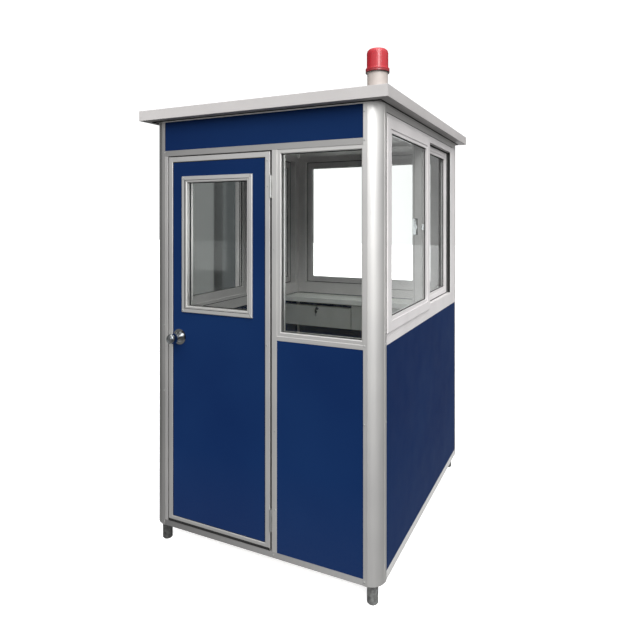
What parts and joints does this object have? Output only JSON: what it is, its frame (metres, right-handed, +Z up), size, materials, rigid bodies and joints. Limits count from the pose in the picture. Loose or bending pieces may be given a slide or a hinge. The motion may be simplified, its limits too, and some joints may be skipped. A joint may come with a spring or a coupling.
{
  "type": "security guard booth",
  "caption": "Small guard booth: blue panels in rounded aluminium posts, glazed door, sidelight, sliding windows, flat roof with red beacon, desk and drawer.",
  "frame": {"origin": "on the ground at the centre of the footprint, between the four feet", "axes": "+Z up; -Y out of the front wall with the door; +X to the right as one faces that wall from outside"},
  "size_m": [1.3, 1.624, 2.331],
  "materials": {
    "aluminium_trim": "satin anodised",
    "roof_sheet": "satin, light grey",
    "blue_panel": "smooth satin coating",
    "window_pvc": "smooth",
    "clear_glass": "clear",
    "chrome": "polished",
    "hinge_steel": "satin",
    "latch_metal": "satin",
    "foot_steel": "worn, galvanised",
    "floor_board": "sealed",
    "desk_board": "satin",
    "beacon_housing": "smooth",
    "beacon_red": "translucent",
    "beacon_lamp": "polished"
  },
  "bodies": {
    "booth": {"corner_post_front_left": "aluminium_trim", "corner_post_front_right": "aluminium_trim", "corner_post_rear_left": "aluminium_trim", "corner_post_rear_right": "aluminium_trim", "top_ring": "aluminium_trim", "header_rails": "aluminium_trim", "front_transom": "aluminium_trim", "door_jamb": "aluminium_trim", "door_mullion": "aluminium_trim", "sidelight_sill": "aluminium_trim", "sidelight_beads": "aluminium_trim", "base_frame": "aluminium_trim", "roof_panel": "roof_sheet", "roof_trim": "roof_sheet", "front_header_panel": "blue_panel", "front_lower_panel": "blue_panel", "right_lower_panel": "blue_panel", "left_lower_panel": "blue_panel", "rear_lower_panel": "blue_panel", "right_window_frame": "window_pvc", "left_window_frame": "window_pvc", "rear_window_frame": "window_pvc", "right_window_sashes": "window_pvc", "left_window_sashes": "window_pvc", "rear_window_sashes": "window_pvc", "window_filler_strips": "window_pvc", "sidelight_glass": "clear_glass", "right_window_glass": "clear_glass", "left_window_glass": "clear_glass", "rear_window_glass": "clear_glass", "frame_hinge_halves": "hinge_steel", "window_latches": "latch_metal", "drawer_runners": "latch_metal", "feet": "foot_steel", "floor_panel": "floor_board", "desk_top": "desk_board", "desk_apron": "desk_board", "beacon_base": "beacon_housing", "beacon_lens": "beacon_red", "beacon_reflector": "beacon_lamp"},
    "door": {"door_frame": "aluminium_trim", "door_panel": "blue_panel", "door_window_frame": "aluminium_trim", "door_window_glass": "clear_glass", "leaf_hinge_halves": "hinge_steel", "knob_roses": "chrome"},
    "door_knob": {"door_knob": "chrome"},
    "drawer": {"drawer_tray": "desk_board", "drawer_front": "desk_board", "drawer_lock": "latch_metal"}
  },
  "joints": [
    {"name": "door_swing", "type": "hinge", "parent": "booth", "child": "door", "pos_m": [0.082, -0.755, 1.006], "axis": [0, 0, 1], "range_deg": [0, 160]},
    {"name": "knob_turn", "type": "hinge", "parent": "door", "child": "door_knob", "pos_m": [-0.437, -0.73, 1.032], "axis": [0, 1, 0], "range_deg": [-45, 45], "stiffness_Nm_per_rad": 0.6},
    {"name": "drawer_slide", "type": "slide", "parent": "booth", "child": "drawer", "axis": [0, -1, 0], "range_m": [0, 0.14]}
  ]
}
